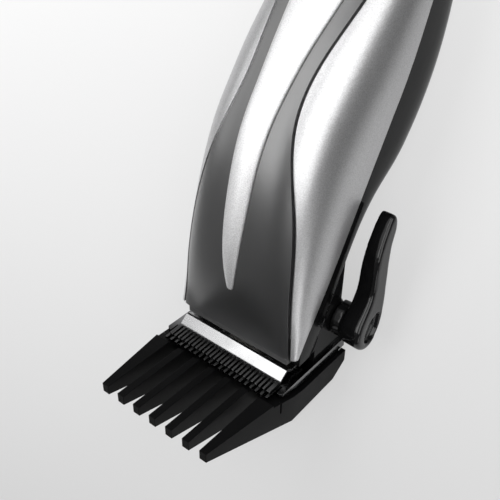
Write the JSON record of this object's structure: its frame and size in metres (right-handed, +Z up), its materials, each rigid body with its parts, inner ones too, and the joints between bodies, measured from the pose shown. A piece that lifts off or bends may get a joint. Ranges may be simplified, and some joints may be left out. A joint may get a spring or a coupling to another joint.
{
  "type": "hair clipper",
  "caption": "Hand-held hair clipper with a toothed blade set, a side lever that sets the cutting length, a slide switch and a clip-on guide comb.",
  "frame": {"origin": "centre of the flat rest face under the belly, where the clipper lies on its back", "axes": "+X to the taper lever's side, +Y along the body to the cord inlet, +Z up out of the front face"},
  "size_m": [0.0593, 0.1733, 0.058],
  "materials": {
    "silver_paint": "satin metallic coating on a moulded shell",
    "panel_grey": "satin dark grey",
    "gloss_black": "gloss black",
    "blade_steel": "ground steel",
    "screw_steel": "plated steel",
    "cutter_steel": "polished steel",
    "nylon": "natural nylon",
    "inner_black": "black nylon",
    "core_steel": "plain steel",
    "buffer_rubber": "soft black rubber",
    "copper": "enamelled copper wire",
    "comb_black": "semi-gloss black"
  },
  "bodies": {
    "housing": {"front_shell": "silver_paint", "face_panel": "panel_grey", "centre_tongue": "silver_paint", "back_shell": "gloss_black", "nose_lip": "panel_grey", "fixed_blade": "blade_steel", "blade_screws": "screw_steel", "pivot_pin": "screw_steel", "pivot_clip": "screw_steel", "rubber_buffers": "buffer_rubber", "stator_core": "core_steel", "coil_bobbin": "inner_black", "coil_winding": "copper", "stator_screws": "screw_steel", "switch_body": "inner_black", "housing_screws": "screw_steel", "inlet_bush": "comb_black"},
    "armature": {"armature_arm": "core_steel", "armature_core": "core_steel", "drive_finger": "nylon"},
    "taper_carriage": {"taper_slide": "inner_black", "tension_spring": "blade_steel"},
    "cutter": {"moving_cutter": "cutter_steel", "cutter_yoke": "nylon"},
    "lever": {"taper_lever": "gloss_black", "lever_shaft": "screw_steel", "lever_screw": "inner_black"},
    "switch": {"switch_slider": "comb_black"},
    "power_adjuster": {"power_screw": "screw_steel"},
    "comb": {"guide_comb": "comb_black"}
  },
  "joints": [
    {"name": "armature_swing", "type": "hinge", "parent": "housing", "child": "armature", "pos_m": [0, 0.021, 0.0255], "axis": [0, 0, 1], "range_deg": [-0.65, 0.65], "stiffness_Nm_per_rad": 1},
    {"name": "taper_lever_turn", "type": "hinge", "parent": "housing", "child": "lever", "pos_m": [0, -0.07155, 0.01301], "axis": [1, 0, 0], "range_deg": [0, 45]},
    {"name": "taper_slide_travel", "type": "slide", "parent": "housing", "child": "taper_carriage", "axis": [0, 0.5, -0.866], "range_m": [0, 0.00168]},
    {"name": "cutter_stroke", "type": "slide", "parent": "taper_carriage", "child": "cutter", "axis": [1, 0, 0], "range_m": [-0.0012, 0.0012]},
    {"name": "switch_slide", "type": "slide", "parent": "housing", "child": "switch", "axis": [0, 1, 0], "range_m": [0, 0.004]},
    {"name": "power_screw_turn", "type": "hinge", "parent": "housing", "child": "power_adjuster", "pos_m": [0, 0.011, 0.0235], "axis": [1, 0, 0], "range_deg": [-180, 180]},
    {"name": "comb_unclip", "type": "slide", "parent": "housing", "child": "comb", "axis": [0, -0.5, 0.866], "range_m": [0, 0.03]}
  ],
  "couplings": [
    {"joint": "cutter_stroke", "follows": "armature_swing", "m_per_rad": 0.10454},
    {"joint": "taper_lever_turn", "follows": "taper_slide_travel", "rad_per_m": 466.39}
  ]
}
